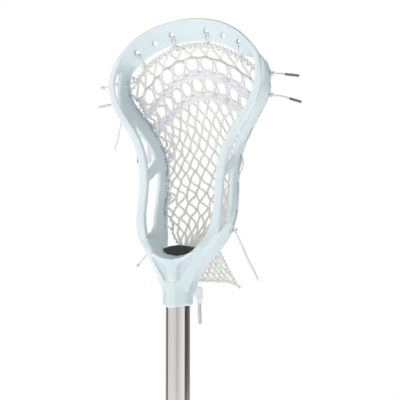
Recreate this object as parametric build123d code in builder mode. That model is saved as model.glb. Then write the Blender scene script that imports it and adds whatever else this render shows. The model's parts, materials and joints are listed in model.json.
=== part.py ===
from build123d import *
import math
import os

# A men's lacrosse stick, millimetres.  The origin is the centre of the butt cap's underside.
# +Z runs up the shaft to the scoop, the open ball side of the head faces -Y, and X is its width.
# The plane X = 0 is the head's plane of symmetry; only the loose string ends break it.

os.makedirs("parts", exist_ok=True)

# ---------------------------------------------------------------- driving dimensions
# Shaft: a 30 inch attack shaft, an eight-sided tube that is a little deeper than it is wide.
SHAFT_LENGTH = 762.0
SHAFT_HALF_WIDTH = 11.2
SHAFT_HALF_DEPTH = 12.7
SHAFT_FRONT_FLAT = 4.9  # half-width of the flat that faces the ball side
SHAFT_SIDE_FLAT = 6.2  # half-depth of the flat that faces sideways
SHAFT_WALL = 1.2
FLUTE = 0.5  # how far each flat is hollowed at its middle

# Butt cap: a rubber cup over the lower end of the shaft.
CAP_FLOOR = 4.0
CAP_HEIGHT = 32.0
CAP_WALL = 2.0
CAP_ROUND = 2.5

RUNNING_GAP = 0.05  # radial clearance of every piece that slides on another
SOFT_GAP = 0.5  # clearance that strings and mesh keep from their neighbours

# Socket and collar of the head.  Heights on the head count from the collar's lower rim.
INSERTION = 44.0
COLLAR_Z = CAP_FLOOR + SHAFT_LENGTH - INSERTION
COLLAR_HALF_WIDTH = 14.4
COLLAR_HALF_DEPTH = 16.4
COLLAR_FRONT_FLAT = 4.5
COLLAR_SIDE_FLAT = 7.6
COLLAR_TOP = 17.0
COLLAR_ROUND = 2.5
COLLAR_DIP = 3.0  # the rim hangs this much lower at its middle than at its sides
SOCKET_WALL = 1.8
SOCKET_TOP = 48.0

# Scoop: the outer lip is half an ellipse that starts at the widest part of the head.
LIP_HALF_WIDTH = 93.5
LIP_BASE = 245.0
LIP_RISE = 69.0
SCOOP_HOLE_RADIUS = 3.0
SCOOP_HOLES = ((21.2, 298.3), (42.2, 291.3), (62.5, 281.5))  # half-width, height

# Sidewall string holes along the rear rail.
STRING_HOLE_RADIUS = 2.0
STRING_HOLE_PITCH = 15.0
STRING_HOLE_LOWEST = 88.0
STRING_HOLE_COUNT = 12
STRING_HOLE_INSET = 5.0

# Screw through the rib of the throat into the shaft.
SCREW_HEIGHT = 26.0
SCREW_HEAD_RADIUS = 2.7
SCREW_HEAD_DEPTH = 2.0
SCREW_SHANK_RADIUS = 1.7
SCREW_LENGTH = 13.0
SCREW_SUNK = 0.3  # the screw's face sits this far behind the rib's face
SEAT_OPENING = 4.0  # the screw's seat is clear this far in front of the screw
SCREW_SLOT = 0.8

# Pocket and strings.
MESH_THICKNESS = 2.5
LACE_THICKNESS = 1.6
CORD_RADIUS = 1.0
LACE_WIDTH = 7.0


def up(height):
    """Height in the part's frame of a height counted from the collar's lower rim."""
    return COLLAR_Z + height


def between(knots, height):
    """Smooth value at a height, through (height, value) knots in rising order."""
    last = len(knots) - 2
    step = max(i for i in range(last + 1) if i == 0 or knots[i][0] <= height)

    def slope(i):
        low = knots[max(i - 1, 0)]
        high = knots[min(i + 1, last + 1)]
        return (high[1] - low[1]) / (high[0] - low[0])

    (z0, v0), (z1, v1) = knots[step], knots[step + 1]
    span = z1 - z0
    t = (height - z0) / span
    ease = t * t * (3 - 2 * t)
    start = t * (1 - t) * (1 - t) * span * slope(step)
    end = t * t * (t - 1) * span * slope(step + 1)
    return v0 + (v1 - v0) * ease + start + end


def octagon(half_width, half_depth, front_flat, side_flat, grow=0.0):
    """Corners of an eight-sided section, going round from the front flat."""
    wide = half_width + grow
    deep = half_depth + grow
    front = front_flat + 0.4 * grow
    side = side_flat + 0.4 * grow
    quarter = [(front, -deep), (wide, -side)]
    right = quarter + [(x, -y) for x, y in reversed(quarter)]
    return right + [(-x, y) for x, y in reversed(right)]


def shaft_octagon(grow=0.0):
    return octagon(SHAFT_HALF_WIDTH, SHAFT_HALF_DEPTH, SHAFT_FRONT_FLAT, SHAFT_SIDE_FLAT, grow)


def save(piece, name):
    """Label a finished sub-part and write its STEP file."""
    piece.part.label = name
    export_step(piece.part, f"parts/{name}.step")


# ---------------------------------------------------------------- shaft and butt cap
with BuildPart() as shaft:
    with BuildSketch(Plane.XY.offset(CAP_FLOOR)):
        corners = shaft_octagon()
        with BuildLine():
            for start, end in zip(corners, corners[1:] + corners[:1]):
                middle = Vector(*start) * 0.5 + Vector(*end) * 0.5
                ThreePointArc(start, middle - middle.normalized() * FLUTE, end)
        make_face()
        offset(amount=-SHAFT_WALL, kind=Kind.INTERSECTION, mode=Mode.SUBTRACT)
    extrude(amount=SHAFT_LENGTH)
    with BuildSketch(Plane.XZ):
        with Locations((0, up(SCREW_HEIGHT))):
            Circle(SCREW_SHANK_RADIUS + RUNNING_GAP)
    extrude(amount=SHAFT_HALF_DEPTH + 1, mode=Mode.SUBTRACT)
save(shaft, "shaft")

with BuildPart() as end_cap:
    with BuildSketch(Plane.XY):
        Polygon(*shaft_octagon(CAP_WALL), align=None)
        fillet(vertices(), CAP_ROUND)
    extrude(amount=CAP_HEIGHT)
    fillet(end_cap.faces().sort_by(Axis.Z)[0].edges(), CAP_ROUND)
    with BuildSketch(Plane.XY.offset(CAP_FLOOR)):
        Polygon(*shaft_octagon(RUNNING_GAP), align=None)
    extrude(amount=CAP_HEIGHT, mode=Mode.SUBTRACT)
save(end_cap, "end_cap")


# ---------------------------------------------------------------- head frame
# Each side of the head is one lofted wall: a front rail that faces the ball side, with a thinner
# web running back from it.  Windows are cut through the web afterwards, which leaves the rear
# rail and two struts.  The wall rises from the socket, opens out and closes over as the scoop.
#
# Wall sections below the scoop: height, outer and inner edges of the front rail (half-width,
# depth), rail thickness, middle of the web's rear edge (half-width, depth), web thickness, and how
# far the web bows outward at its middle (in the throat it is dished inward instead).
WALL = (
    (6, (13.2, -6.8), (5.4, -14.4), 4.0, (11.5, 9.0), 3.0, 0.5),
    (20, (17.2, -7.6), (5.6, -16.0), 4.5, (16.0, 13.0), 3.5, -1.5),
    (40, (25.7, -8.3), (18.5, -14.2), 5.0, (22.0, 21.0), 4.0, -3.5),
    (58, (37.0, -7.5), (29.0, -12.0), 5.5, (32.5, 34.0), 4.0, -4.0),
    (74, (47.0, -4.8), (36.0, -6.0), 6.0, (38.5, 45.5), 4.5, -3.0),
    (92, (50.5, -2.2), (40.5, -2.2), 6.0, (42.5, 52.0), 4.5, 0.5),
    (120, (50.9, 3.1), (40.9, 3.1), 6.0, (44.0, 56.5), 4.5, 0.5),
    (150, (52.6, 6.0), (42.8, 6.0), 6.0, (44.2, 58.8), 4.5, 0.5),
    (175, (60.5, 8.6), (50.5, 8.6), 6.0, (50.5, 60.3), 4.5, 0.5),
    (195, (73.0, 10.6), (62.6, 10.6), 6.0, (60.8, 60.5), 4.5, 0.5),
    (215, (86.0, 10.4), (76.6, 10.4), 5.5, (74.3, 57.5), 4.5, 0.5),
    (232, (92.2, 8.8), (84.2, 8.8), 5.0, (85.2, 50.0), 4.5, 0.5),
    (248, (93.4, 8.2), (86.4, 8.2), 5.0, (87.0, 44.5), 4.5, 0.5),
)

# Wall sections where the rail turns over into the lip: angle round the lip ellipse, rail depth,
# width and thickness, rear edge (distance out from the lip, depth), web thickness and bow.
TURN = (
    (14, 9.2, 6.5, 4.5, (-6.0, 42.5), 4.5, 0.5),
    (22, 9.6, 6.0, 4.0, (-11.0, 36.5), 4.5, 0.5),
)

# Scoop sections: angle round the lip ellipse, lip depth, middle of the rear edge (distance out
# from the lip, depth), thickness, and how far the scoop is hollowed.
SCOOP = (
    (30, 10.0, (-17.0, 30.0), 4.5, 1.0),
    (45, 10.4, (-21.5, 27.5), 4.2, 2.5),
    (60, 12.2, (-22.4, 28.8), 4.0, 3.0),
    (75, 14.6, (-23.3, 29.5), 4.0, 3.0),
    (90, 15.4, (-23.6, 30.0), 4.0, 3.0),
)


def plate_points(start, end, half_thickness, hollow, parts):
    """Points at parts of the way along both sides of a plate that is hollowed at its middle."""
    along = (end - start).normalized()
    across = Vector(-along.Y, along.X)
    sides = ([], [])
    for part in parts:
        sag = across * (-hollow * math.sin(math.pi * part))
        centre = start + (end - start) * part + sag
        sides[0].append(centre + across * half_thickness)
        sides[1].append(centre - across * half_thickness)
    return sides


def wall_outline(outer, inner, rail, rear, web, bow):
    """Ten corners of a side wall section: the rail, then down the web and back."""
    root = Vector((outer[0] + inner[0]) / 2, (outer[1] + inner[1]) / 2 + rail)
    near, far = plate_points(root, Vector(*rear), web / 2, bow, (0, 0.5, 1))
    inner_back = Vector(inner[0], inner[1] + rail)
    outer_back = Vector(outer[0], outer[1] + rail)
    corners = [Vector(*outer), Vector(*inner), inner_back] + near + far[::-1] + [outer_back]
    return [(c.X, c.Y) for c in corners]


def scoop_outline(depth, rear, web, hollow):
    """Ten corners of a scoop section, a hollowed plate that runs back from the lip."""
    lip = Vector(-web / 2, depth)
    near, far = plate_points(lip, Vector(*rear), web / 2, hollow, (0, 0.1, 0.2, 0.6, 1))
    corners = [far[0]] + near + far[:0:-1]
    return [(c.X, c.Y) for c in corners]


def lip_plane(angle):
    """Section plane at an angle round the lip, its origin on the lip and local X outward."""
    turn = math.radians(angle)
    point = (LIP_HALF_WIDTH * math.cos(turn), 0, up(LIP_BASE + LIP_RISE * math.sin(turn)))
    outward = Vector(math.cos(turn) / LIP_HALF_WIDTH, 0, math.sin(turn) / LIP_RISE).normalized()
    tangent = Vector(-outward.Z, 0, outward.X)
    return Plane(origin=point, x_dir=outward, z_dir=tangent)


def wall_sections():
    """Planes and corners of the right wall, from the socket up to where the scoop starts.

    On every section plane local X points out of the head and local Y is the part's +Y.
    """
    for row in WALL:
        yield Plane.XY.offset(up(row[0])), wall_outline(*row[1:])
    for angle, depth, width, rail, rear, web, bow in TURN:
        yield lip_plane(angle), wall_outline((0, depth), (-width, depth), rail, rear, web, bow)
    yield lip_plane(SCOOP[0][0]), scoop_outline(*SCOOP[0][1:])


def scoop_sections():
    """Planes and corners of the scoop, from its right end over the top to its left end."""
    for angle, *shape in SCOOP:
        yield lip_plane(angle), scoop_outline(*shape)
    for angle, *shape in SCOOP[-2::-1]:
        yield lip_plane(180 - angle), scoop_outline(*shape)


# Window outlines in side view: (depth, height) round each opening.
THROAT_WINDOW = ((12, 133), (10, 118), (8, 104), (5.5, 90), (2.5, 75), (17.5, 80.5), (27, 89),
                 (33.5, 108), (37, 128), (40, 149.5))
MIDDLE_WINDOW = ((12, 142), (12.5, 153), (14, 164), (17, 176), (22, 188), (28.5, 207), (30.5, 197),
                 (32.5, 184), (36.5, 171), (37, 162))
UPPER_WINDOW = ((18, 208), (13.5, 220), (12.5, 230), (12, 242), (13, 252), (18, 260.5),
                (22.5, 261), (24, 252), (23.8, 243), (21.5, 230), (20.5, 217))
WINDOW_CORNER = 1.5
WINDOW_REACH = 110.0

# Inner lip of the throat, the curve that the ball rolls over: half-width and height.
THROAT_LIP = ((0, 52.0), (13, 54.6), (23, 60.5), (33.5, 72.0))
FLOOR_FRONT = -2.0
FLOOR_BACK = 22.0
FLOOR_THICKNESS = 6.0
RAMP_FRONT = -12.5
RAMP_DROP = 4.0

# Recessed plate behind the rib: half outline, from the top, and the slot in it.
RECESS_FRONT = -11.5
RECESS_THICKNESS = 3.0
RECESS_HALF_OUTLINE = ((0, 48), (14, 49), (27, 54), (23, 44), (16, 34), (12, 26), (8, 12), (0, 12))
RECESS_SLOT = (14.6, 43.0)  # half-width, height of its middle
RECESS_SLOT_SIZE = (0.9, 4.0)

# Rib and lip plate of the throat's front: half outline below the inner lip.
RIB_HALF_OUTLINE = ((33.5, 62), (31, 57.5), (21, 51), (9.5, 44.5), (5, 39), (4, 30), (4, 10))
RIB_DEPTH = -16.6
RIB_LEAN = 1.5  # degrees that the plate leans back
RIB_THICKNESS = 5.5


RIB_NORMAL = Vector(0, -math.cos(math.radians(RIB_LEAN)), math.sin(math.radians(RIB_LEAN)))
RIB_PLANE = Plane(origin=(0, RIB_DEPTH, up(0)), x_dir=(1, 0, 0), z_dir=RIB_NORMAL)

# Plane of the screw head's outer face, looking out of the throat.
SCREW_FACE = RIB_DEPTH + SCREW_HEIGHT * math.tan(math.radians(RIB_LEAN)) + SCREW_SUNK
SCREW_PLANE = Plane(origin=(0, SCREW_FACE, up(SCREW_HEIGHT)), x_dir=(1, 0, 0), z_dir=(0, -1, 0))

THROAT_STRING_HOLE = (42.5, 80.0)  # depth, height, in both walls
LEFT_STRING_HOLE = (8.0, 57.0)  # in the left wall only
SCOOP_HOLE_REACH = 60.0

# Line in side view that the front of the throat's lip is trimmed back to, flush with the rails.
LIP_TRIM = ((-13.4, 55), (-12.3, 58), (-10.3, 63), (-8.0, 69), (-6.2, 74), (-4.5, 80))  # depth, height
LIP_TRIM_REACH = 34.0  # half-width of the trim


def both_sides(points):
    """Right-hand points, outermost or topmost first, followed by their mirror images."""
    return list(points) + [(-x, z) for x, z in reversed(points) if x != 0]


def lip_points(drop=0.0):
    """Points of the throat's inner lip from left to right, lowered by drop."""
    right = [(x, between(THROAT_LIP, x) - drop) for x in (0, 4, 8, 12, 16, 20, 24, 28, 33.5)]
    return [(-x, z) for x, z in reversed(right[1:])] + right


def floor_outline(drop):
    """Section of the throat floor, a strip that follows the inner lip."""
    top = [(x, up(z)) for x, z in lip_points(drop)]
    return top + [(x, z - FLOOR_THICKNESS) for x, z in reversed(top)]


def rib_half_outline():
    """Right half of the rib and lip plate, from the middle of its top edge."""
    top = [(x, z) for x, z in lip_points(RAMP_DROP) if x >= 0]
    return top + list(RIB_HALF_OUTLINE) + [(0, RIB_HALF_OUTLINE[-1][1])]


def collar_octagon(grow=0.0):
    return octagon(COLLAR_HALF_WIDTH, COLLAR_HALF_DEPTH, COLLAR_FRONT_FLAT, COLLAR_SIDE_FLAT, grow)


def wall_rear(height):
    """Depth of the side wall's rear edge at a height."""
    return between([(row[0], row[4][1]) for row in WALL] + [(262, 42.0)], height)


string_holes = [STRING_HOLE_LOWEST + i * STRING_HOLE_PITCH for i in range(STRING_HOLE_COUNT)]

with BuildPart() as head_frame:
    # Right wall with its windows and string holes, and its mirror image.
    for plane, outline in wall_sections():
        with BuildSketch(plane):
            Polygon(*outline, align=None)
    loft()
    for window in (THROAT_WINDOW, MIDDLE_WINDOW, UPPER_WINDOW):
        with BuildSketch(Plane.YZ):
            Polygon(*[(y, up(z)) for y, z in window], align=None)
            fillet(vertices(), WINDOW_CORNER)
        extrude(amount=WINDOW_REACH, mode=Mode.SUBTRACT)
    with BuildSketch(Plane.YZ):
        with Locations([(wall_rear(z) - STRING_HOLE_INSET, up(z)) for z in string_holes]):
            Circle(STRING_HOLE_RADIUS)
        with Locations((THROAT_STRING_HOLE[0], up(THROAT_STRING_HOLE[1]))):
            Circle(STRING_HOLE_RADIUS)
    extrude(amount=WINDOW_REACH, mode=Mode.SUBTRACT)
    mirror(about=Plane.YZ)
    with BuildSketch(Plane.YZ.offset(-SHAFT_HALF_WIDTH)):
        with Locations((LEFT_STRING_HOLE[0], up(LEFT_STRING_HOLE[1]))):
            Circle(STRING_HOLE_RADIUS)
    extrude(amount=-WINDOW_REACH, mode=Mode.SUBTRACT)

    # Scoop, which joins the two walls.
    for plane, outline in scoop_sections():
        with BuildSketch(plane):
            Polygon(*outline, align=None)
    loft()
    with BuildSketch(Plane.XZ):
        with Locations([(side * x, up(z)) for side in (-1, 1) for x, z in SCOOP_HOLES]):
            Circle(SCOOP_HOLE_RADIUS)
    extrude(amount=-SCOOP_HOLE_REACH, mode=Mode.SUBTRACT)

    # Socket: an octagonal sleeve round the shaft, thicker at the collar.
    with BuildSketch(Plane.XY.offset(up(-COLLAR_DIP))):
        Polygon(*collar_octagon(), align=None)
        fillet(vertices(), COLLAR_ROUND)
    extrude(amount=COLLAR_TOP + COLLAR_DIP)
    with BuildSketch(Plane.XY.offset(up(COLLAR_TOP))):
        Polygon(*shaft_octagon(SOCKET_WALL), align=None)
    extrude(amount=SOCKET_TOP - COLLAR_TOP)

    # Throat floor that the ball stop sits on, and the ramp in front of it.
    with BuildSketch(Plane.XZ.offset(-FLOOR_FRONT)):
        Polygon(*floor_outline(0), align=None)
    extrude(amount=FLOOR_FRONT - FLOOR_BACK)
    with BuildSketch(Plane.XZ.offset(-FLOOR_FRONT)):
        Polygon(*floor_outline(0), align=None)
    with BuildSketch(Plane.XZ.offset(-RAMP_FRONT)):
        Polygon(*floor_outline(RAMP_DROP), align=None)
    loft()

    # Recessed front of the throat, with a slot each side of the socket.
    with BuildSketch(Plane.XZ.offset(-RECESS_FRONT)):
        Polygon(*[(x, up(z)) for x, z in both_sides(RECESS_HALF_OUTLINE)], align=None)
        with Locations([(side * RECESS_SLOT[0], up(RECESS_SLOT[1])) for side in (-1, 1)]):
            Ellipse(*RECESS_SLOT_SIZE, mode=Mode.SUBTRACT)
    extrude(amount=-RECESS_THICKNESS)

    # Rib and lip plate that brace the throat's front.
    with BuildSketch(RIB_PLANE):
        Polygon(*both_sides(rib_half_outline()), align=None)
    extrude(amount=-RIB_THICKNESS)

    # The ends of the lip run up into the rails, so their front is trimmed flush with them.
    with BuildSketch(Plane.YZ.offset(-LIP_TRIM_REACH)):
        front = 2 * RIB_DEPTH
        trim = [(front, LIP_TRIM[0][1]), *LIP_TRIM, (front, LIP_TRIM[-1][1])]
        Polygon(*[(y, up(z)) for y, z in trim], align=None)
    extrude(amount=2 * LIP_TRIM_REACH, mode=Mode.SUBTRACT)

    # Bore for the shaft, screw hole with its seat, and the curved rim of the collar.
    with BuildSketch(Plane.XY.offset(up(-COLLAR_DIP))):
        Polygon(*shaft_octagon(RUNNING_GAP), align=None)
    extrude(amount=INSERTION + COLLAR_DIP, mode=Mode.SUBTRACT)
    with BuildSketch(SCREW_PLANE):
        Circle(SCREW_SHANK_RADIUS + RUNNING_GAP)
    extrude(amount=-SCREW_LENGTH, mode=Mode.SUBTRACT)
    with BuildSketch(SCREW_PLANE.offset(SEAT_OPENING)):
        Circle(SCREW_HEAD_RADIUS + RUNNING_GAP)
    extrude(amount=-SEAT_OPENING - SCREW_HEAD_DEPTH, mode=Mode.SUBTRACT)
    with BuildSketch(Plane.XZ.offset(-COLLAR_HALF_DEPTH - 1)):
        with BuildLine():
            rim = ThreePointArc(
                (-COLLAR_HALF_WIDTH - 1, up(0)), (0, up(-COLLAR_DIP)), (COLLAR_HALF_WIDTH + 1, up(0))
            )
            Polyline(rim @ 1, (rim @ 1) - (0, 2 * COLLAR_DIP), (rim @ 0) - (0, 2 * COLLAR_DIP), rim @ 0)
        make_face()
    extrude(amount=2 * COLLAR_HALF_DEPTH + 2, mode=Mode.SUBTRACT)
save(head_frame, "head_frame")


# ---------------------------------------------------------------- ball stop and screw
STOP_GAP = 0.2
STOP_TOP = ((0, 63.7), (10, 62.6), (18.5, 59.7))  # half-width, height of the pad's top
STOP_DEPTH = 20.0
STOP_SETBACK = 0.5  # the pad starts this far behind the floor's front edge

with BuildPart() as ball_stop:
    with BuildSketch(Plane.XZ.offset(-FLOOR_FRONT - STOP_SETBACK)):
        half_width = STOP_TOP[-1][0]
        under = [(x, up(z) + STOP_GAP) for x, z in lip_points() if abs(x) <= half_width]
        over = [(x, up(z)) for x, z in both_sides(STOP_TOP[::-1])]
        Polygon(*under, *over, align=None)
    extrude(amount=-STOP_DEPTH)
save(ball_stop, "ball_stop")

with BuildPart() as head_screw:
    with BuildSketch(SCREW_PLANE):
        Circle(SCREW_HEAD_RADIUS)
    extrude(amount=-SCREW_HEAD_DEPTH)
    fillet(head_screw.faces().sort_by(Axis.Y)[0].edges(), 0.5)
    with BuildSketch(SCREW_PLANE.offset(-SCREW_HEAD_DEPTH)):
        Circle(SCREW_SHANK_RADIUS)
    extrude(amount=SCREW_HEAD_DEPTH - SCREW_LENGTH)
    with BuildSketch(SCREW_PLANE):
        Rectangle(2 * SCREW_HEAD_RADIUS, SCREW_SLOT)
        Rectangle(SCREW_SLOT, 2 * SCREW_HEAD_RADIUS)
    extrude(amount=-SCREW_SLOT, mode=Mode.SUBTRACT)
save(head_screw, "head_screw")


# ---------------------------------------------------------------- pocket and strings
# The mesh hangs between the rear rails and sags back behind them.
# Height, half-width of the mesh, depth of its edges, depth of its middle.
POCKET = (
    (66, 17.0, 36.5, 40.0),
    (82, 27.0, 44.0, 60.0),
    (102, 36.5, 49.0, 78.0),
    (126, 37.2, 53.5, 93.0),
    (150, 37.8, 55.5, 99.0),
    (175, 43.8, 57.0, 95.0),
    (200, 58.0, 56.0, 83.0),
    (225, 74.0, 50.0, 68.0),
    (245, 80.0, 42.0, 55.0),
    (256, 77.0, 39.5, 48.0),
    (267, 56.0, 35.0, 42.0),
    (277, 40.5, 33.0, 39.0),
    (283.5, 22.0, 32.0, 36.5),
)
SAG_POWER = 2.2  # shape of the sagging cross-section: 2 is a parabola, more is a flatter bag
ACROSS = (-1, -0.85, -0.6, -0.3, 0, 0.3, 0.6, 0.85, 1)


def pocket_point(height, across, inset=0.0):
    """Point of the pocket's back surface, or a surface inset from it towards the ball.

    across runs from -1 at the left edge of the mesh to 1 at its right edge.
    """
    half_width = between([row[:2] for row in POCKET], height) - inset
    edge = between([(row[0], row[2]) for row in POCKET], height)
    middle = between([(row[0], row[3]) for row in POCKET], height) - inset
    return half_width * across, edge + (middle - edge) * (1 - abs(across) ** SAG_POWER)


def pocket_strip(height, outer, inner):
    """Closed outline of a level slice of a layer that lies on the pocket."""
    back = [pocket_point(height, a, outer) for a in ACROSS]
    front = [pocket_point(height, a, inner) for a in reversed(ACROSS)]
    return back + front


with BuildPart() as mesh_pocket:
    for row in POCKET:
        with BuildSketch(Plane.XY.offset(up(row[0]))):
            Polygon(*pocket_strip(row[0], 0, MESH_THICKNESS), align=None)
    loft(ruled=True)
save(mesh_pocket, "mesh_pocket")

# Shooting strings lie on the ball side of the mesh, each arched up in the middle.
# Name, height at the middle, drop towards the edges, width of the string.
SHOOTING_STRINGS = (
    ("shooting_cord", 272.0, 46.0, 3.0),
    ("upper_shooting_lace", 255.0, 54.0, LACE_WIDTH),
    ("lower_shooting_lace", 233.0, 64.0, LACE_WIDTH),
)
STRING_REACH = 82.0  # half-width at which the arch has dropped in full
layer_heights = [row[0] for row in POCKET if 175 <= row[0] <= 277]

for name, middle, drop, width in SHOOTING_STRINGS:
    inset = MESH_THICKNESS + SOFT_GAP
    with BuildPart() as shooting_string:
        for height in layer_heights:
            with BuildSketch(Plane.XY.offset(up(height))):
                Polygon(*pocket_strip(height, inset, inset + LACE_THICKNESS), align=None)
        loft(ruled=True)
        with BuildSketch(Plane.XZ):
            arch = [(a * STRING_REACH, up(middle - drop * a * a)) for a in ACROSS]
            upper_edge = [(x, z + width / 2) for x, z in arch]
            lower_edge = [(x, z - width / 2) for x, z in reversed(arch)]
            Polygon(*upper_edge, *lower_edge, align=None)
        extrude(amount=-WINDOW_REACH, mode=Mode.INTERSECT)
    save(shooting_string, name)


# Strings that lash the mesh to the head: along both rear rails, the scoop and the throat.
RAIL_STRING_GAP = 3.6  # from the middle of the rear rail's wall in to the string
RAIL_STRING_HEIGHTS = (84, 110, 140, 170, 195, 220, 240)
SCOOP_STRING = ((0, 287.2), (24.5, 284.6), (37, 281.0), (52, 272.3), (59, 267.0))
SCOOP_STRING_DEPTH = 30.0
THROAT_STRING = ((0, 43.0), (10, 41.8), (18, 39.0))  # half-width, depth
THROAT_STRING_HEIGHT = 62.5


def rail_string(side):
    """Points of the string along the left (-1) or right (1) rear rail."""
    rear_middle = [(row[0], row[4][0]) for row in WALL]
    return [
        (side * (between(rear_middle, z) - RAIL_STRING_GAP), wall_rear(z) - 2, up(z))
        for z in RAIL_STRING_HEIGHTS
    ]


LASHINGS = (
    ("left_sidewall_string", rail_string(-1)),
    ("right_sidewall_string", rail_string(1)),
    ("top_string", [(x, SCOOP_STRING_DEPTH, up(z)) for x, z in both_sides(SCOOP_STRING[::-1])]),
    ("bottom_string", [(x, y, up(THROAT_STRING_HEIGHT)) for x, y in both_sides(THROAT_STRING[::-1])]),
)

for name, points in LASHINGS:
    with BuildPart() as lashing:
        with BuildLine():
            path = Spline(*points)
        with BuildSketch(Plane(origin=path @ 0, z_dir=path % 0)):
            Circle(CORD_RADIUS)
        sweep()
    save(lashing, name)

# Loose lower end of the mesh, which hangs behind the throat below the bottom string.
FLAP_TOP = (0, 48.0, 60.0)
FLAP_OUTLINE = ((-24, 0), (25, 0), (41, -37), (47, -43), (36, -38), (-34, -33))  # across, up
FLAP_LEAN = 10.0
with BuildPart() as mesh_flap:
    lean = math.radians(FLAP_LEAN)
    flap_plane = Plane(
        origin=(FLAP_TOP[0], FLAP_TOP[1], up(FLAP_TOP[2])),
        x_dir=(1, 0, 0),
        z_dir=(0, -math.cos(lean), -math.sin(lean)),
    )
    with BuildSketch(flap_plane):
        Polygon(*FLAP_OUTLINE, align=None)
    extrude(amount=-MESH_THICKNESS)
save(mesh_flap, "mesh_flap")


# ---------------------------------------------------------------- loose string ends
# Each end hangs from a knot outside the head.  Name, points from the knot to the end, cord radius,
# and the length and radius of the plastic tip at its end (no tip where the length is 0).
LOOSE_ENDS = (
    ("right_upper_cord", ((92.2, 42, 248), (103, 44, 247), (122, 46, 243.6)), 1.0, 15.0, 1.5),
    ("right_lower_cord", ((87.4, 50, 226), (100, 52, 224), (121, 54, 216.5)), 1.0, 13.0, 1.5),
    ("left_upper_cord", ((-93.4, 30, 250.5), (-105, 30, 248.5), (-116, 30, 247.5)), 1.0, 2.5, 1.6),
    ("left_lower_cord", ((-90.8, 34, 230), (-104, 34, 228.5), (-122, 34, 226.5)), 1.0, 15.0, 1.7),
    ("left_hanging_string", ((-88.3, 32, 224), (-90.5, 30, 200), (-95.5, 27, 176)), 0.8, 0.0, 0.0),
    ("left_narrow_lace", ((-78.5, 57, 206), (-78.8, 53.5, 185), (-78.5, 50, 161.5)), 1.3, 14.0, 1.4),
    ("left_wide_lace", ((-69, 66, 197), (-72, 65, 178), (-72.5, 64, 163)), 2.4, 0.0, 0.0),
    ("throat_lace", ((-3.4, 54.5, 20), (-2.4, 54.5, 2), (-1.2, 54, -21.5)), 2.6, 21.0, 2.0),
    ("left_bottom_end", ((-40.5, 8, 56), (-46, 6, 50), (-53, 4, 41)), 0.9, 2.5, 1.6),
    ("right_bottom_end", ((44.8, 48, 80), (54, 52, 57), (69, 54, 27)), 0.9, 0.0, 0.0),
)
KNOT_SCALE = 1.7  # knot radius over cord radius
TIP_CHAMFER = 0.3

for name, points, radius, tip_length, tip_radius in LOOSE_ENDS:
    places = [(x, y, up(z)) for x, y, z in points]
    last = Vector(*places[-1])
    direction = (last - Vector(*places[-2])).normalized()
    tip_start = last - direction * tip_length
    if tip_length:
        places[-1] = tuple(tip_start)
    with BuildPart() as loose_end:
        with BuildLine():
            path = Spline(*places)
        root_plane = Plane(origin=path @ 0, z_dir=path % 0)
        with BuildSketch(root_plane):
            Circle(radius)
        sweep()
        with Locations(root_plane):
            Sphere(radius * KNOT_SCALE)
    save(loose_end, name)
    if tip_length:
        with BuildPart() as tip:
            with BuildSketch(Plane(origin=tip_start + direction * RUNNING_GAP, z_dir=direction)):
                Circle(tip_radius)
            extrude(amount=tip_length - RUNNING_GAP)
            chamfer(tip.edges(), TIP_CHAMFER)
        save(tip, f"{name}_tip")
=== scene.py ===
import json
import math
import random

import bpy
import numpy as np
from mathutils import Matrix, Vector
from mathutils.bvhtree import BVHTree


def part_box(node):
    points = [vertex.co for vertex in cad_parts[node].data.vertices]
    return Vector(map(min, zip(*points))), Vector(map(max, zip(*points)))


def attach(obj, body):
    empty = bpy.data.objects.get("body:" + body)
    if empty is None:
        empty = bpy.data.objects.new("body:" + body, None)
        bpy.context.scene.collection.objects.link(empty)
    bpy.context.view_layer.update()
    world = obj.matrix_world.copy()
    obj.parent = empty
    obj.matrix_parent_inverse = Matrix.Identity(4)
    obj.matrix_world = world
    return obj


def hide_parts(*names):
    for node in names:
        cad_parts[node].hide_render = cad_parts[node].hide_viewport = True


# Looks of the lacrosse stick.  Geometry is worked out in "head millimetres": the row frame's X, Y
# and Z in millimetres, with heights counted from the lower rim of the head's collar.

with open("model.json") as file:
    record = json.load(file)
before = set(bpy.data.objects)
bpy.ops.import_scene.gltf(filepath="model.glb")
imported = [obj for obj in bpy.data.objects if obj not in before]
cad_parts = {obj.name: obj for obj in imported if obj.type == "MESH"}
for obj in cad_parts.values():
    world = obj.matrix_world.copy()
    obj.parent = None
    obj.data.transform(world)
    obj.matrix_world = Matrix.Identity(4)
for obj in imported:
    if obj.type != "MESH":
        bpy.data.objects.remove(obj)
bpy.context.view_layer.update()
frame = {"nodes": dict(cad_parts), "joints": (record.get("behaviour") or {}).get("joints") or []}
nodes = frame["nodes"]
random.seed(7)

MM = 0.001
INSERTION = 44 * MM  # how far the shaft runs up into the head
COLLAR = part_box("shaft")[1].z - INSERTION


def to_frame(points):
    """Head millimetres to metres in the row frame."""
    return np.asarray(points, float) * MM + (0, 0, COLLAR)


def to_head(points):
    """Metres in the row frame to head millimetres."""
    return (np.asarray(points, float).reshape(-1, 3) - (0, 0, COLLAR)) / MM


def node_points(name):
    """Every vertex of a CAD node, in head millimetres."""
    return to_head([v.co for v in nodes[name].data.vertices])


# ---------------------------------------------------------------- curves
def between(knots, value):
    """Smooth value of a curve through (place, value) knots in rising order."""
    knots = np.asarray(knots, float)
    value = min(max(value, knots[0][0]), knots[-1][0])
    slopes = np.gradient(knots[:, 1], knots[:, 0])
    step = int(np.clip(np.searchsorted(knots[:, 0], value) - 1, 0, len(knots) - 2))
    (x0, y0), (x1, y1) = knots[step], knots[step + 1]
    span = x1 - x0
    t = (value - x0) / span
    ease = t * t * (3 - 2 * t)
    rise = span * (slopes[step] * t * (1 - t) ** 2 - slopes[step + 1] * t * t * (1 - t))
    return y0 + (y1 - y0) * ease + rise


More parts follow.
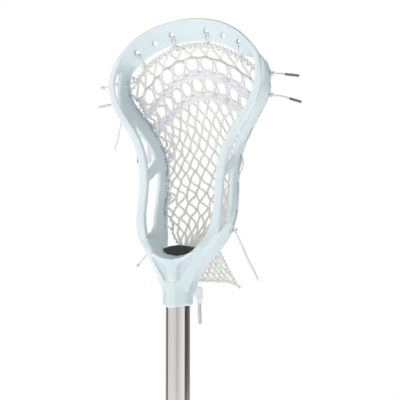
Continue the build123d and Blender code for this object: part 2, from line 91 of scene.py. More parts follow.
def smooth_path(points, steps=5):
    """Points along a smooth curve through the given points."""
    p = np.asarray(points, float)
    p = np.vstack([2 * p[0] - p[1], p, 2 * p[-1] - p[-2]])
    t = np.linspace(0, 1, steps, endpoint=False)[:, None]
    spans = []
    for a, b, c, d in zip(p, p[1:], p[2:], p[3:]):
        cubic = (3 * (b - c) + d - a) * t**3
        spans.append(b + 0.5 * ((c - a) * t + (2 * a - 5 * b + 4 * c - d) * t**2 + cubic))
    return np.vstack(spans + [p[-2]])


def closed_path(points, steps=5):
    """Points along a smooth closed curve through the given points, its start not repeated."""
    p = np.asarray(points, float)
    wrapped = np.vstack([p[-1], p, p[0], p[1]])
    return smooth_path(wrapped, steps)[steps:-2 * steps + steps - 1]


def helix(path, radius, pitch, phase=0.0):
    """A path that winds round another one."""
    path = np.asarray(path, float)
    tangent = unit(np.gradient(path, axis=0))
    length = np.concatenate([[0], np.cumsum(np.linalg.norm(np.diff(path, axis=0), axis=1))])
    samples = np.arange(0, length[-1], pitch / 10)
    centre = np.stack([np.interp(samples, length, path[:, i]) for i in range(3)], 1)
    along = unit(np.stack([np.interp(samples, length, tangent[:, i]) for i in range(3)], 1))
    first = unit(np.cross(along, (0.0, 1.0, 0.05)))
    second = np.cross(along, first)
    turn = (2 * math.pi * samples / pitch + phase)[:, None]
    return centre + radius * (first * np.cos(turn) + second * np.sin(turn))


def unit(vectors):
    vectors = np.asarray(vectors, float)
    return vectors / np.maximum(np.linalg.norm(vectors, axis=-1, keepdims=True), 1e-9)


# ---------------------------------------------------------------- swept strands
class Strands:
    """Gathers swept strands into one mesh.  Its UVs count millimetres along and round a strand."""

    def __init__(self):
        self.points, self.faces, self.uvs, self.count = [], [], [], 0

    def sweep(self, path, width, thickness=None, sides=8, facing=None, squareness=1.0, closed=False):
        """A strand along path.  facing points out of its broad side; squareness below 1 makes it
        a flat band instead of a round cord."""
        path = np.asarray(path, float)
        n = len(path)
        width = np.broadcast_to(np.asarray(width, float), n)
        thickness = width if thickness is None else np.broadcast_to(np.asarray(thickness, float), n)
        if closed:
            tangent = unit(np.roll(path, -1, 0) - np.roll(path, 1, 0))
        else:
            tangent = unit(np.gradient(path, axis=0))
        if facing is None:
            normal = np.array((0.3, -0.9, 0.2))
            normals = []
            for t in tangent:
                normal = unit(normal - t * normal.dot(t))
                normals.append(normal)
            normals = np.array(normals)
        else:
            facing = np.broadcast_to(np.asarray(facing, float), (n, 3))
            normals = unit(facing - tangent * np.sum(facing * tangent, 1, keepdims=True))
        across = np.cross(tangent, normals)
        angle = np.linspace(0, 2 * math.pi, sides, endpoint=False)
        c = np.sign(np.cos(angle)) * np.abs(np.cos(angle)) ** squareness
        s = np.sign(np.sin(angle)) * np.abs(np.sin(angle)) ** squareness
        rings = (
            path[:, None]
            + across[:, None] * (width / 2)[:, None, None] * c[None, :, None]
            + normals[:, None] * (thickness / 2)[:, None, None] * s[None, :, None]
        )
        self.points.append(rings.reshape(-1, 3))
        spans = n if closed else n - 1
        i, j = np.meshgrid(np.arange(spans), np.arange(sides), indexing="ij")
        i2, j2 = (i + 1) % n, (j + 1) % sides
        quads = np.stack([i * sides + j, i2 * sides + j, i2 * sides + j2, i * sides + j2], -1)
        self.faces.extend((quads.reshape(-1, 4) + self.count).tolist())
        step = np.linalg.norm(np.diff(path, axis=0, append=path[:1]), axis=1)
        along = np.concatenate([[0], np.cumsum(step)])
        girth = math.pi / 2 * (width + thickness).mean() / sides
        corners = [(along[i], j * girth), (along[i + 1], j * girth),
                   (along[i + 1], (j + 1) * girth), (along[i], (j + 1) * girth)]
        self.uvs.append(np.stack([np.stack(c, -1) for c in corners], 2).reshape(-1, 2))
        if not closed:
            last = self.count + (n - 1) * sides
            self.faces.append([self.count + k for k in range(sides)])
            self.faces.append([last + k for k in reversed(range(sides))])
            self.uvs.append(np.zeros((2 * sides, 2)))
        self.count += n * sides

    def knot(self, centre, size, cord, turn=0.0):
        """A tight overhand knot, with its cord's width."""
        t = np.linspace(0, 2 * math.pi, 30, endpoint=False)
        x = (2 + np.cos(3 * t)) * np.cos(2 * t)
        y = (2 + np.cos(3 * t)) * np.sin(2 * t)
        z = 1.6 * np.sin(3 * t)
        c, s = math.cos(turn), math.sin(turn)
        ring = np.stack([x * c - z * s, y, x * s + z * c], 1) * size / 3
        self.sweep(np.asarray(centre) + ring, cord, closed=True)

    def piece(self, name, material, body, slot, *replaced):
        """The gathered strands as one finished piece that rides on a body."""
        mesh = bpy.data.meshes.new(name)
        mesh.from_pydata(to_frame(np.vstack(self.points)).tolist(), [], self.faces)
        mesh.polygons.foreach_set("use_smooth", [True] * len(mesh.polygons))
        layer = mesh.uv_layers.new(name="strand")
        layer.data.foreach_set("uv", np.vstack(self.uvs).ravel())
        mesh.materials.append(material)
        obj = bpy.data.objects.new(name, mesh)
        bpy.context.scene.collection.objects.link(obj)
        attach(obj, body)
        if replaced:
            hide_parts(*replaced)
        return obj


# ---------------------------------------------------------------- materials
class Shader:
    """Short-hand for building one material's nodes."""

    def __init__(self, name):
        self.material = bpy.data.materials.new(name)
        self.material.use_nodes = True
        self.tree = self.material.node_tree
        self.surface = self.tree.nodes["Principled BSDF"]

    def node(self, kind, inputs=None, **settings):
        made = self.tree.nodes.new("ShaderNode" + kind)
        for key, value in settings.items():
            setattr(made, key, value)
        for key, value in (inputs or {}).items():
            self.put(made, key, value)
        return made

    def put(self, made, key, value):
        if isinstance(value, bpy.types.NodeSocket):
            self.tree.links.new(value, made.inputs[key])
        else:
            made.inputs[key].default_value = value

    def principled(self, **inputs):
        for key, value in inputs.items():
            self.put(self.surface, key.replace("_", " "), value)

    def place(self, scale=(1, 1, 1)):
        """Place on the object in millimetres, stretched by scale."""
        coordinates = self.node("TexCoord").outputs["Object"]
        size = tuple(s / MM for s in scale)
        return self.node("Mapping", {"Vector": coordinates, "Scale": size}).outputs[0]

    def strand(self, scale=(1, 1, 1)):
        """Millimetres along and round a strand, stretched by scale."""
        coordinates = self.node("UVMap", uv_map="strand").outputs[0]
        return self.node("Mapping", {"Vector": coordinates, "Scale": scale}).outputs[0]

    def noise(self, where, scale, detail=2.0, roughness=0.5):
        inputs = {"Vector": where, "Scale": scale, "Detail": detail, "Roughness": roughness}
        return self.node("TexNoise", inputs).outputs["Fac"]

    def math(self, operation, a, b=0.0):
        made = self.node("Math", operation=operation)
        self.put(made, 0, a)
        self.put(made, 1, b)
        return made.outputs[0]

    def remap(self, value, low, high, start=0.0, end=1.0):
        inputs = {"Value": value, "From Min": start, "From Max": end, "To Min": low, "To Max": high}
        return self.node("MapRange", inputs).outputs[0]

    def mix(self, share, a, b):
        made = self.node("Mix", data_type="RGBA")
        for index, value in ((0, share), (6, a), (7, b)):
            self.put(made, index, value)
        return made.outputs[2]

    def bump(self, height, distance, strength=1.0, below=None):
        inputs = {"Height": height, "Distance": distance * MM, "Strength": strength}
        if below is not None:
            inputs["Normal"] = below
        return self.node("Bump", inputs).outputs[0]


def moulded_plastic():
    """Pale ice-blue nylon: satin, a little translucent, with painted shade that makes it cooler and darker
    in its recesses.
    """
    m = Shader("moulded_plastic")
    where = m.place()
    # Painted shade: an ambient-occlusion mask darkens the colour towards blue-grey in recesses and between
    # parts.
    painted_shade_ao = m.node("AmbientOcclusion", {"Distance": 26 * MM}, samples=8).outputs["AO"]
    depth = m.remap(painted_shade_ao, 0.0, 1.0, 0.35, 0.95)
    tint = m.mix(m.noise(where, 0.03, 3), (0.70, 0.805, 0.84, 1), (0.75, 0.85, 0.87, 1))
    colour = m.mix(depth, (0.50, 0.59, 0.72, 1), tint)
    worn = m.remap(m.node("NewGeometry").outputs["Pointiness"], 0.0, 0.35, 0.505, 0.53)
    scuffs = m.remap(m.noise(m.place((1, 1, 0.12)), 1.6, 4, 0.7), 0.0, 1.0, 0.52, 0.78)
    colour = m.mix(worn, colour, (0.86, 0.93, 0.94, 1))
    roughness = m.math("ADD", m.remap(m.noise(where, 0.35, 4), 0.27, 0.40), m.math("MULTIPLY", scuffs, 0.10))
    grain = m.bump(m.noise(where, 1.3, 3), 0.05, 0.35)
    normal = m.bump(m.noise(where, 0.06, 2), 0.5, 0.15, grain)
    m.principled(Base_Color=colour, Roughness=roughness, Normal=normal, IOR=1.5)
    m.principled(Subsurface_Weight=0.12, Subsurface_Radius=(0.9, 1.0, 1.1), Subsurface_Scale=2 * MM)
    m.principled(Coat_Weight=0.12, Coat_Roughness=0.18)
    return m.material


def woven(name, light, dark, pitch, flatness, sheen=0.35):
    """Braided or woven cord: two sets of yarns that cross, with fuzz, slight soiling and painted shade in
    the crevices between the yarns.
    """
    m = Shader(name)
    wave = 2 * math.pi / 20 / pitch
    yarns = []
    for slant in (1, -1):
        turn = m.strand((wave, slant * wave * flatness, 1))
        inputs = {"Vector": turn, "Scale": 1.0, "Distortion": 0.0}
        yarns.append(m.node("TexWave", inputs, bands_direction="DIAGONAL").outputs["Fac"])
    braid = m.math("MAXIMUM", yarns[0], yarns[1])
    where = m.place()
    fuzz = m.noise(m.strand((0.8, 4, 1)), 1.5, 4, 0.7)
    soil = m.remap(m.noise(where, 0.05, 4, 0.6), 0.0, 0.5, 0.45, 0.8)
    # Painted shade: the colour darkens in the crevices between the crossing yarns, broken up by the fuzz.
    painted_crevice_shade = m.remap(m.math("MULTIPLY", braid, m.remap(fuzz, 0.75, 1.1)), 0.0, 1.0, 0.25, 0.9)
    colour = m.mix(painted_crevice_shade, dark, light)
    colour = m.mix(soil, colour, dark)
    normal = m.bump(fuzz, 0.10, 0.5, m.bump(braid, 0.28, 0.9))
    m.principled(Base_Color=colour, Normal=normal, Sheen_Weight=sheen, Sheen_Roughness=0.4)
    m.principled(Roughness=m.remap(fuzz, 0.62, 0.9), Subsurface_Weight=0.08, Subsurface_Scale=1 * MM)
    return m.material


def nylon(name, light, dark, roughness):
    """Smooth extruded plastic: string, or the moulded tip of a lace."""
    m = Shader(name)
    where = m.place()
    streaks = m.noise(m.place((0.4, 0.4, 0.08)), 2.5, 3)
    colour = m.mix(m.remap(streaks, 0, 1, 0.3, 0.7), dark, light)
    normal = m.bump(m.noise(where, 1.1, 2), 0.06, 0.5)
    m.principled(Base_Color=colour, Normal=normal, IOR=1.52, Coat_Weight=0.3, Coat_Roughness=0.15)
    m.principled(Roughness=m.remap(streaks, roughness, roughness + 0.18))
    return m.material


def foam():
    """Closed-cell foam with a moulded skin."""
    m = Shader("stop_foam")
    where = m.place()
    cells = m.node("TexVoronoi", {"Vector": where, "Scale": 1.7}).outputs["Distance"]
    broad = m.noise(where, 0.25, 3)
    colour = m.mix(cells, (0.006, 0.006, 0.007, 1), (0.028, 0.028, 0.03, 1))
    normal = m.bump(broad, 0.4, 0.4, m.bump(cells, 0.16, 0.6))
    m.principled(Base_Color=colour, Normal=normal, Roughness=m.remap(broad, 0.62, 0.9))
    m.principled(Sheen_Weight=0.15)
    return m.material


def alloy():
    """Polished aluminium tube, finely brushed along its length, with handling marks."""
    m = Shader("shaft_alloy")
    brushed = m.noise(m.place((1, 1, 0.012)), 5.0, 3, 0.6)
    marks = m.remap(m.noise(m.place((0.5, 0.5, 0.03)), 0.6, 5, 0.75), 0, 1, 0.55, 0.75)
    smear = m.noise(m.place(), 0.03, 3)
    colour = m.mix(smear, (0.63, 0.61, 0.59, 1), (0.72, 0.71, 0.70, 1))
    colour = m.mix(m.math("MULTIPLY", marks, 0.35), colour, (0.40, 0.38, 0.37, 1))
    roughness = m.math("ADD", m.remap(brushed, 0.14, 0.26), m.math("MULTIPLY", marks, 0.12))
    m.principled(Base_Color=colour, Metallic=1.0, Roughness=roughness, Anisotropic=0.5)
    m.principled(Normal=m.bump(brushed, 0.02, 0.35))
    return m.material


def screw_metal():
    """Zinc-plated steel with a warm passivated film."""
    m = Shader("screw_steel")
    where = m.place()
    film = m.noise(where, 0.6, 3)
    colour = m.mix(film, (0.86, 0.80, 0.64, 1), (0.92, 0.89, 0.80, 1))
    m.principled(Base_Color=colour, Metallic=0.7, Roughness=m.remap(film, 0.25, 0.42))
    m.principled(Normal=m.bump(m.noise(where, 4, 3), 0.04, 0.4))
    return m.material


def rubber():
    """Moulded rubber with fine rings for grip and a dusty bloom."""
    m = Shader("cap_rubber")
    where = m.place()
    rings = m.node("TexWave", {"Vector": where, "Scale": 0.12}, bands_direction="Z").outputs["Fac"]
    dust = m.remap(m.noise(where, 0.12, 5, 0.7), 0.0, 0.6, 0.45, 0.8)
    colour = m.mix(dust, (0.012, 0.012, 0.013, 1), (0.06, 0.058, 0.055, 1))
    normal = m.bump(rings, 0.5, 0.7, m.bump(m.noise(where, 2.2, 3), 0.12, 0.6))
    m.principled(Base_Color=colour, Roughness=m.remap(dust, 0.5, 0.85), Normal=normal)
    return m.material


PLASTIC = moulded_plastic()
NET_CORD = woven("mesh_cord", (0.97, 0.96, 0.92, 1), (0.84, 0.83, 0.78, 1), 1.5, 1.0)
LACE = woven("lace", (0.98, 0.97, 1.0, 1), (0.90, 0.89, 0.955, 1), 1.3, 0.8)
FINE_CORD = woven("string", (0.93, 0.92, 0.90, 1), (0.76, 0.75, 0.73, 1), 1.0, 1.0)
NYLON = nylon("nylon_string", (0.66, 0.65, 0.70, 1), (0.54, 0.53, 0.59, 1), 0.3)
DARK_TIP = nylon("dark_tip", (0.20, 0.20, 0.21, 1), (0.11, 0.11, 0.12, 1), 0.22)
PALE_CORD = nylon("pale_cord", (0.95, 0.94, 0.97, 1), (0.88, 0.87, 0.91, 1), 0.35)
PALE_TIP = nylon("pale_tip", (0.74, 0.72, 0.80, 1), (0.58, 0.56, 0.64, 1), 0.25)


# ---------------------------------------------------------------- rigid parts
def dress(name, material):
    """Give a carried-over CAD node its material."""
    mesh = nodes[name].data
    mesh.materials.clear()
    mesh.materials.append(material)
    return nodes[name]


def round_off(obj, voxel, passes):
    """Round the edges of a moulded part: remesh it finely, then relax it."""
    remesh = obj.modifiers.new("remesh", "REMESH")
    remesh.mode = "VOXEL"
    remesh.voxel_size = voxel * MM
    remesh.use_smooth_shade = True
    relax = obj.modifiers.new("relax", "SMOOTH")
    relax.factor = 0.5
    relax.iterations = passes


round_off(dress("head_frame", PLASTIC), 0.95, 7)
round_off(dress("ball_stop", foam()), 0.5, 6)
round_off(dress("end_cap", rubber()), 0.45, 4)
dress("head_screw", screw_metal())
dress("shaft", alloy())


# ---------------------------------------------------------------- pocket surface
def pocket_table():
    """Height, half-width, edge depth and middle depth of each section of the CAD pocket."""
    rings = {}
    for x, y, z in node_points("mesh_pocket"):
        rings.setdefault(round(z, 1), []).append((x, y))
    table = []
    for z, ring in sorted(rings.items()):
        ring = np.array(ring)
        half = ring[:, 0].max()
        if len(ring) >= 18 and half + ring[:, 0].min() < 0.1:
            edge = ring[ring[:, 0] > half - 0.05][:, 1].max()
            table.append((z, half, edge, ring[:, 1].max()))
    return np.array(table)


POCKET = pocket_table()
SAG_POWER = 2.2  # shape of the pocket's cross-section, as in the CAD part
NET_INSET = 1.25  # from the CAD pocket's back surface in to the middle of the net
EDGE_STRETCH = 2.2  # the lashings pull the net's edge this far out towards the rail


def half_width(z):
    return between(POCKET[:, (0, 1)], z) + EDGE_STRETCH


def depth(x, z):
    """Depth of the middle of the net at a place."""
    edge = between(POCKET[:, (0, 2)], z)
    middle = between(POCKET[:, (0, 3)], z)
    share = min(1.0, abs(x) / max(half_width(z), 1.0))
    return edge + (middle - edge) * (1 - share**SAG_POWER) - NET_INSET


# The rows of the net are arched: height of a row's middle against how much it bends.
ARCH = ((62, 0.002), (130, 0.006), (180, 0.010), (223, 0.0105), (245, 0.009), (267, 0.0075), (287, 0.0058))
# How far the net has slipped sideways at its middle, as a share of its half-width.
SLIP = ((62, 0.34), (100, 0.26), (145, 0.0), (180, -0.05), (287, -0.05))


class Row:
    """One arched row across the net, from its left edge (-1) to its right edge (1)."""

    def __init__(self, middle):
        self.middle = middle
        bend = between(ARCH, middle)
        reach = [self.reach(bend, side) for side in (-1, 1)]
        xs = np.linspace(reach[0], reach[1], 61)
        self.points = np.array([(x, depth(x, middle - bend * x * x), middle - bend * x * x) for x in xs])
        steps = np.linalg.norm(np.diff(self.points, axis=0), axis=1)
        self.along = np.concatenate([[0], np.cumsum(steps)]) / steps.sum() * 2 - 1

    def reach(self, bend, side):
        x = 90.0
        while x > half_width(self.middle - bend * x * x):
            x -= 0.25
        return x * side

    def at(self, share):
        share = share + between(SLIP, self.middle) * (1 - share * share)
        return np.array([np.interp(share, self.along, self.points[:, i]) for i in range(3)])


def ball_side(row, share):
    """Direction out of the net towards the ball, square to the row."""
    tangent = row.at(min(share + 0.05, 1)) - row.at(max(share - 0.05, -1))
    return unit(np.cross(tangent, (0.0, 0.25, 1.0)))


# ---------------------------------------------------------------- net
COLUMNS = 10
CORD = 2.7  # width of one strand of the net
LACED_ROWS = (286.5, 276.0, 267.0, 256.0, 245.0, 234.0, 223.5)  # heights where shooting strings pass
ROW_PITCH = 9.5
NET_FOOT = 63.5
ROW_HEIGHTS = list(LACED_ROWS) + list(np.arange(213.5, NET_FOOT + ROW_PITCH / 2, -ROW_PITCH)) + [NET_FOOT]
ROWS = [Row(z) for z in ROW_HEIGHTS]
JOIN = {276.0: 2.2, 267.0: 1.8, 256.0: 3.2, 245.0: 1.8, 234.0: 3.2}  # half-lengths of the long joins
SHORT_JOIN = 1.4
ROUND_HOLES = {267.0: 1.7, 245.0: 1.6}  # rows of holes, and how far their strands bow outward


def strand_places(strand, columns, rows):
    """Centre, share across and side of a strand at each row: strands pair up with their left
    neighbour on one row and with their right neighbour on the next."""
    for index, row in enumerate(rows):
        if index % 2 == 0:
            column = strand // 2 + 0.5
            side = -1 if strand % 2 == 0 else 1
        else:
            column = (strand + 1) // 2
            side = 1 if strand % 2 == 0 else -1
        yield index, row, column / columns * 2 - 1, side


def bulge(row, share, near, far):
    """Middle of a span beside a round hole, pushed away from the hole's centre."""
    middle = (near + far) / 2
    return middle + unit(middle - row.at(share)) * ROUND_HOLES.get(row.middle, 0.5)


net = Strands()
for strand in range(2 * COLUMNS):
    places = []
    last_share = None
    for index, row, share, side in strand_places(strand, COLUMNS, ROWS):
        centre = row.at(share)
        above = ROWS[max(index - 1, 0)].at(share)
        below = ROWS[min(index + 1, len(ROWS) - 1)].at(share)
        down = unit(below - above)
        across = unit(row.at(min(share + 0.04, 1)) - row.at(max(share - 0.04, -1)))
        outward = unit(np.cross(across, down))
        half = JOIN.get(row.middle, SHORT_JOIN)
        nudge = np.array([random.uniform(-0.5, 0.5) for _ in range(3)]) * (0 < index < len(ROWS) - 1)
        join = centre + nudge * 0.8 + across * side * CORD * 0.40
        ends = [join + end * (down * half + outward * side * 0.3) for end in (-1, 1)]
        if places:
            holes, hole_share = (row, last_share) if index % 2 == 0 else (ROWS[index - 1], share)
            places.append(bulge(holes, hole_share, places[-1], ends[0]))
        places += ends
        last_share = share
    net.sweep(smooth_path(places, 3), CORD, CORD * 0.85, sides=7)
net.piece("pocket_net", NET_CORD, "stick", "mesh_cord", "mesh_pocket")


# ---------------------------------------------------------------- shooting strings
def weave(middle, lift, wave, samples=120):
    """Path of a string that weaves along a row of the net, and the way its face points."""
    row = Row(middle)
    path, facing = [], []
    for share in np.linspace(-1, 1, samples):
        out = ball_side(row, share)
        swing = math.cos(math.pi * COLUMNS * (share + 1))
        path.append(row.at(share) + out * (lift + wave * swing))
        facing.append(out)
    # Both ends run on to the rails.
    for end, side in ((0, -1), (-1, 1)):
        path.insert(len(path) if end else 0, path[end] + np.array((3.0 * side, 1.0, -1.5)))
        facing.insert(len(facing) if end else 0, facing[end])
    return np.array(path), np.array(facing)


def lace_band(name, middle, replaced):
    """Flat shooting lace woven through the net, with a second pass wound round the first."""
    band = Strands()
    path, facing = weave(middle, 0.9, 0.9)
    t = np.linspace(0, 1, len(path))
    rise = np.array((0.0, 0.0, 1.0))
    for shift, turn in ((2.5, 0.0), (-2.5, math.pi)):
        ripple = np.cos(2 * math.pi * COLUMNS * t + turn)[:, None]
        lane = path + rise * shift + facing * ripple * 0.7
        width = 5.9 + 0.5 * np.cos(2 * math.pi * COLUMNS * t + turn)
        band.sweep(lane, width, 1.5, sides=12, facing=facing, squareness=0.6)
    for end in (0, -1):
        band.knot(path[end] + facing[end], 2.2, 2.0, 0.8)
    return band.piece(name, LACE, "stick", "lace", replaced)


lace_band("upper_lace", 255.5, "upper_shooting_lace")
lace_band("lower_lace", 233.5, "lower_shooting_lace")

cord = Strands()
path, facing = weave(273.5, 0.5, 1.3)
cord.sweep(path, 2.3, 2.0, sides=10, facing=facing)
cord.piece("nylon_shooting_cord", NYLON, "stick", "lace", "shooting_cord")


# ---------------------------------------------------------------- lashings to the head
head_tree = BVHTree.FromObject(nodes["head_frame"], bpy.context.evaluated_depsgraph_get())


def head_hit(start, direction):
    """Where a ray meets the head, in head millimetres."""
    hit = head_tree.ray_cast(Vector(to_frame(start)), Vector(direction))[0]
    return None if hit is None else to_head(hit)[0]


# Top string: a cord along the scoop's rear edge, whipped through the top row of the net, with
# loops up through four of the six scoop holes.
LOOP_HOLES = ((-62.5, 281.5), (-21.2, 298.3), (21.2, 298.3), (62.5, 281.5))
HOLE_RADIUS = 3.0
top_row = Row(ROW_HEIGHTS[0])
top_path = np.array([top_row.at(s) for s in np.linspace(-1, 1, 90)]) + (0, -0.6, 0.8)
top = Strands()
top.sweep(top_path, 2.4, sides=8)
top.sweep(helix(top_path, 1.6, 5.2), 1.8, sides=7)
top.sweep(helix(top_path + (0, 0.3, -2.4), 1.2, 7.7, 2.0), 1.7, sides=7)
for x, z in LOOP_HOLES:
    rim = z - HOLE_RADIUS - 2.0
    front = head_hit((x, -60, rim), (0, 1, 0))
    back = head_hit((x, 150, rim), (0, -1, 0))
    foot = top_path[np.argmin(abs(top_path[:, 0] - x * 0.96))]
    for lean in (-1, 1):
        loop = [
            foot + (2.6 * lean, -1.2, 0),
            (x + 1.6 * lean, front[1] - 1.0, rim),
            (x + 1.0 * lean, front[1] - 0.6, z - 1.6),
            (x + 0.9 * lean, (front[1] + back[1]) / 2, z - 0.9),
            (x + 0.9 * lean, back[1] + 0.9, z - 1.6),
            (x + 1.2 * lean, back[1] + 1.2, rim),
            foot + (1.4 * lean, 1.8, 0.5),
        ]
        top.sweep(closed_path(loop, 6), 1.5, sides=7, closed=True)
    top.knot(foot + (0, -1.0, -0.5), 2.0, 1.4, 0.5)
top.piece("top_lacing", NET_CORD, "stick", "mesh_cord", "top_string")

# Sidewall strings: each runs down the edge of the net and out through pairs of rail holes.
HOLE_PITCH = 15.0
LOWEST_HOLE = 88.0
HOLE_COUNT = 12
RAIL_INSET = 3.6  # the CAD sidewall string lies this far in from the middle of the rail's wall
RAIL_WALL = 4.5
THREAD = 1.5
TAIL = ((-61, 66, 212), (-57, 72, 205.6), (-51.3, 76, 191.8), (-44.3, 80, 181.4))
TAIL_WIDTH = 2.2
SLACK_HEIGHT = 153
# Slack loop on the right: distance out from the rail's wall, distance towards the ball, height.
SLACK = ((0, 0, 166), (4, 1, 161), (5, 1, 151), (0, 0, 142))


def rail_line(name):
    """Height, half-width and depth of the CAD sidewall string."""
    points = node_points(name)
    heights = np.arange(points[:, 2].min() + 3, points[:, 2].max() - 3, 6)
    line = [(z, *points[abs(points[:, 2] - z) < 5][:, :2].mean(0)) for z in heights]
    return np.array([(z, abs(x), y) for z, x, y in line if x == x])


def edge_line(side, height):
    """Place on the edge of the net at a height."""
    edge_depth = between(POCKET[:, (0, 2)], height) - NET_INSET
    return np.array((side * (half_width(height) + 0.8), edge_depth, height))


for side, word in ((-1, "left"), (1, "right")):
    node = f"{word}_sidewall_string"
    line = rail_line(node)
    lacing = Strands()
    edge = [edge_line(side, z) for z in np.arange(68, 252, 4)]
    lacing.sweep(smooth_path(edge, 2), THREAD + 0.3, sides=8)
    lacing.sweep(helix(edge, 1.4, 6.5, side), THREAD * 0.8, sides=6)
    thread = []
    for index in range(HOLE_COUNT):
        z = LOWEST_HOLE + index * HOLE_PITCH
        wall = between(line[:, (0, 1)], z) + RAIL_INSET
        y = between(line[:, (0, 2)], z) - 3.0
        inside = (side * (wall - RAIL_WALL / 2 - THREAD * 0.7), y, z)
        outside = (side * (wall + RAIL_WALL / 2 + THREAD * 0.6), y, z)
        tied = edge_line(side, z + (-4 if index % 2 == 0 else 4))
        thread += [tied, inside, outside] if index % 2 == 0 else [outside, inside, tied]
        lacing.knot(tied, 1.9, THREAD, z)
    lacing.sweep(smooth_path(thread, 6), THREAD, sides=8)
    if side < 0:
        # The string's cut tail hangs behind the net.
        lacing.sweep(smooth_path(TAIL), TAIL_WIDTH, sides=8)
    else:
        # Slack in the string bows away from the rail.
        wall = between(line[:, (0, 1)], SLACK_HEIGHT) + RAIL_INSET + RAIL_WALL / 2
        y = between(line[:, (0, 2)], SLACK_HEIGHT) - 3.0
        slack = [(wall + out, y - near, z) for out, near, z in SLACK]
        lacing.sweep(smooth_path(slack, 6), THREAD, sides=8)
    lacing.piece(f"{word}_sidewall_lacing", FINE_CORD, "stick", "mesh_cord", node)

# Bottom string: gathers the foot of the net above the ball stop.
foot_points = node_points("bottom_string")
xs = np.linspace(foot_points[:, 0].min() + 1, foot_points[:, 0].max() - 1, 16)
foot = np.array([foot_points[abs(foot_points[:, 0] - x) < 4].mean(0) for x in xs])
bottom = Strands()
bottom.sweep(smooth_path(foot, 4), 2.2, sides=8)
bottom.sweep(helix(smooth_path(foot, 4), 1.6, 4.6), 1.5, sides=7)
for place in foot[1::3]:
    bottom.knot(place + (0, -0.8, 0), 2.0, 1.4, place[0])
bottom.piece("bottom_lacing", NET_CORD, "stick", "mesh_cord", "bottom_string")


# ---------------------------------------------------------------- loose end of the net
def flap():
    """The end of the net below the bottom string: its columns slant to the right and gather."""
    low, high = (to_head(corner)[0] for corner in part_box("mesh_flap"))
    lean = (high[1] - low[1] - 2.0) / (high[2] - low[2])
    middle = (low[1] + high[1]) / 2

    def at(share, down):
        left = np.array((-24.0 - 10 * down, -34.0 * down))
        right = np.array((24.5 + 14.5 * down, -35.5 * down))
        x, drop = left + (right - left) * (share + 1) / 2
        drop -= 5.0 * max(share - 0.8, 0) * 5 * down * down
        x += 5.0 * max(share - 0.8, 0) * 5 * down * down
        ripple = 1.2 * math.sin(share * 9 + 4 * down)
        z = high[2] - 0.5 + drop
        return np.array((x, middle - lean * ((high[2] + low[2]) / 2 - z) * -1 + ripple * down, z))

    strands = Strands()
    levels = 7
    for strand in range(2 * COLUMNS):
        places = []
        for level in range(levels):
            column = strand // 2 + 0.5 if level % 2 == 0 else (strand + 1) // 2
            share = column / COLUMNS * 2 - 1
            side = (-1 if strand % 2 == 0 else 1) * (1 if level % 2 == 0 else -1)
            down = level / (levels - 1) * 0.97
            across = unit(at(min(share + 0.05, 1), down) - at(max(share - 0.05, -1), down))
            for end in (-1, 1):
                places.append(at(share, down + 0.012 * end) + across * side * 0.6)
        strands.sweep(smooth_path(places, 4), CORD, CORD * 0.9, sides=7)
    hem = smooth_path([at(s, 0.97) for s in np.linspace(-1, 1, 24)], 3)
    strands.sweep(hem, 2.2, sides=8)
    strands.sweep(helix(hem, 1.3, 4.0), 1.3, sides=6)
    for share in (-1, 1):
        border = smooth_path([at(share, d) for d in np.linspace(0.02, 0.97, 12)], 3)
        strands.sweep(border, 2.0, sides=8)
        strands.sweep(helix(border, 1.2, 4.4), 1.2, sides=6)
    corner = at(1, 0.97)
    for turn in range(5):
        spread = np.array((2.0 + 0.8 * turn, 0.8 * math.sin(2.4 * turn), -3.8 + 0.7 * turn))
        fibre = [corner - spread * 0.6, corner + spread * 0.4, corner + spread]
        strands.sweep(smooth_path(fibre, 4), np.linspace(1.3, 0.5, 9), sides=6)
    return strands.piece("net_flap", NET_CORD, "flap", "mesh_cord", "mesh_flap")


flap()


# ---------------------------------------------------------------- loose string ends
def thread_line(name, root, count=5):
    """Points along a slender CAD node, ordered away from a root point."""
    points = node_points(name)
    away = np.linalg.norm(points - root, axis=1)
    edges = np.linspace(away.min(), away.max(), count + 1)
    line = []
    for low, high in zip(edges, edges[1:]):
        near = points[(away >= low - 0.01) & (away <= high + 0.01)]
        if len(near):
            line.append(near.mean(0))
    far = points[away > away.max() - 1.2].mean(0)
    return line, far


def tip(strands, start, end, radius):
    """Crimped tip of a lace: a sleeve with two pressed waists and a blunt nose."""
    profile = ((0, 0.80), (0.03, 0.98), (0.12, 1), (0.2, 0.86), (0.28, 1), (0.62, 1),
               (0.7, 0.86), (0.78, 1), (0.93, 0.95), (0.98, 0.75), (1, 0.35))
    start, end = np.asarray(start), np.asarray(end)
    path = [start + (end - start) * share for share, _ in profile]
    strands.sweep(path, [2 * radius * scale for _, scale in profile], sides=14)


# Name, body, cord width and thickness, material, tip material and radius.
CORDS = (
    ("right_upper_cord", "right_upper_cord_end", 2.2, 2.0, FINE_CORD, DARK_TIP, 1.5),
    ("right_lower_cord", "right_lower_cord_end", 2.2, 2.0, FINE_CORD, DARK_TIP, 1.5),
    ("left_upper_cord", "left_upper_cord_end", 2.2, 2.0, FINE_CORD, None, 1.6),
    ("left_lower_cord", "left_lower_cord_end", 2.2, 2.0, FINE_CORD, PALE_TIP, 1.5),
    ("left_hanging_string", "left_hanging_string_end", 1.6, 1.5, FINE_CORD, None, 0),
    ("left_narrow_lace", "left_narrow_lace_end", 3.0, 1.8, LACE, DARK_TIP, 1.4),
    ("left_wide_lace", "left_wide_lace_end", 5.6, 2.2, LACE, None, 0),
    ("throat_lace", "throat_lace_end", 8.2, 2.8, LACE, PALE_TIP, 2.0),
    ("left_bottom_end", "left_bottom_end", 2.1, 1.9, FINE_CORD, None, 1.6),
    ("right_bottom_end", "right_bottom_end", 2.4, 2.1, PALE_CORD, None, 0),
)
roots = {j["child"]: to_head(j["pos_m"])[0] for j in frame["joints"] if "pos_m" in j}

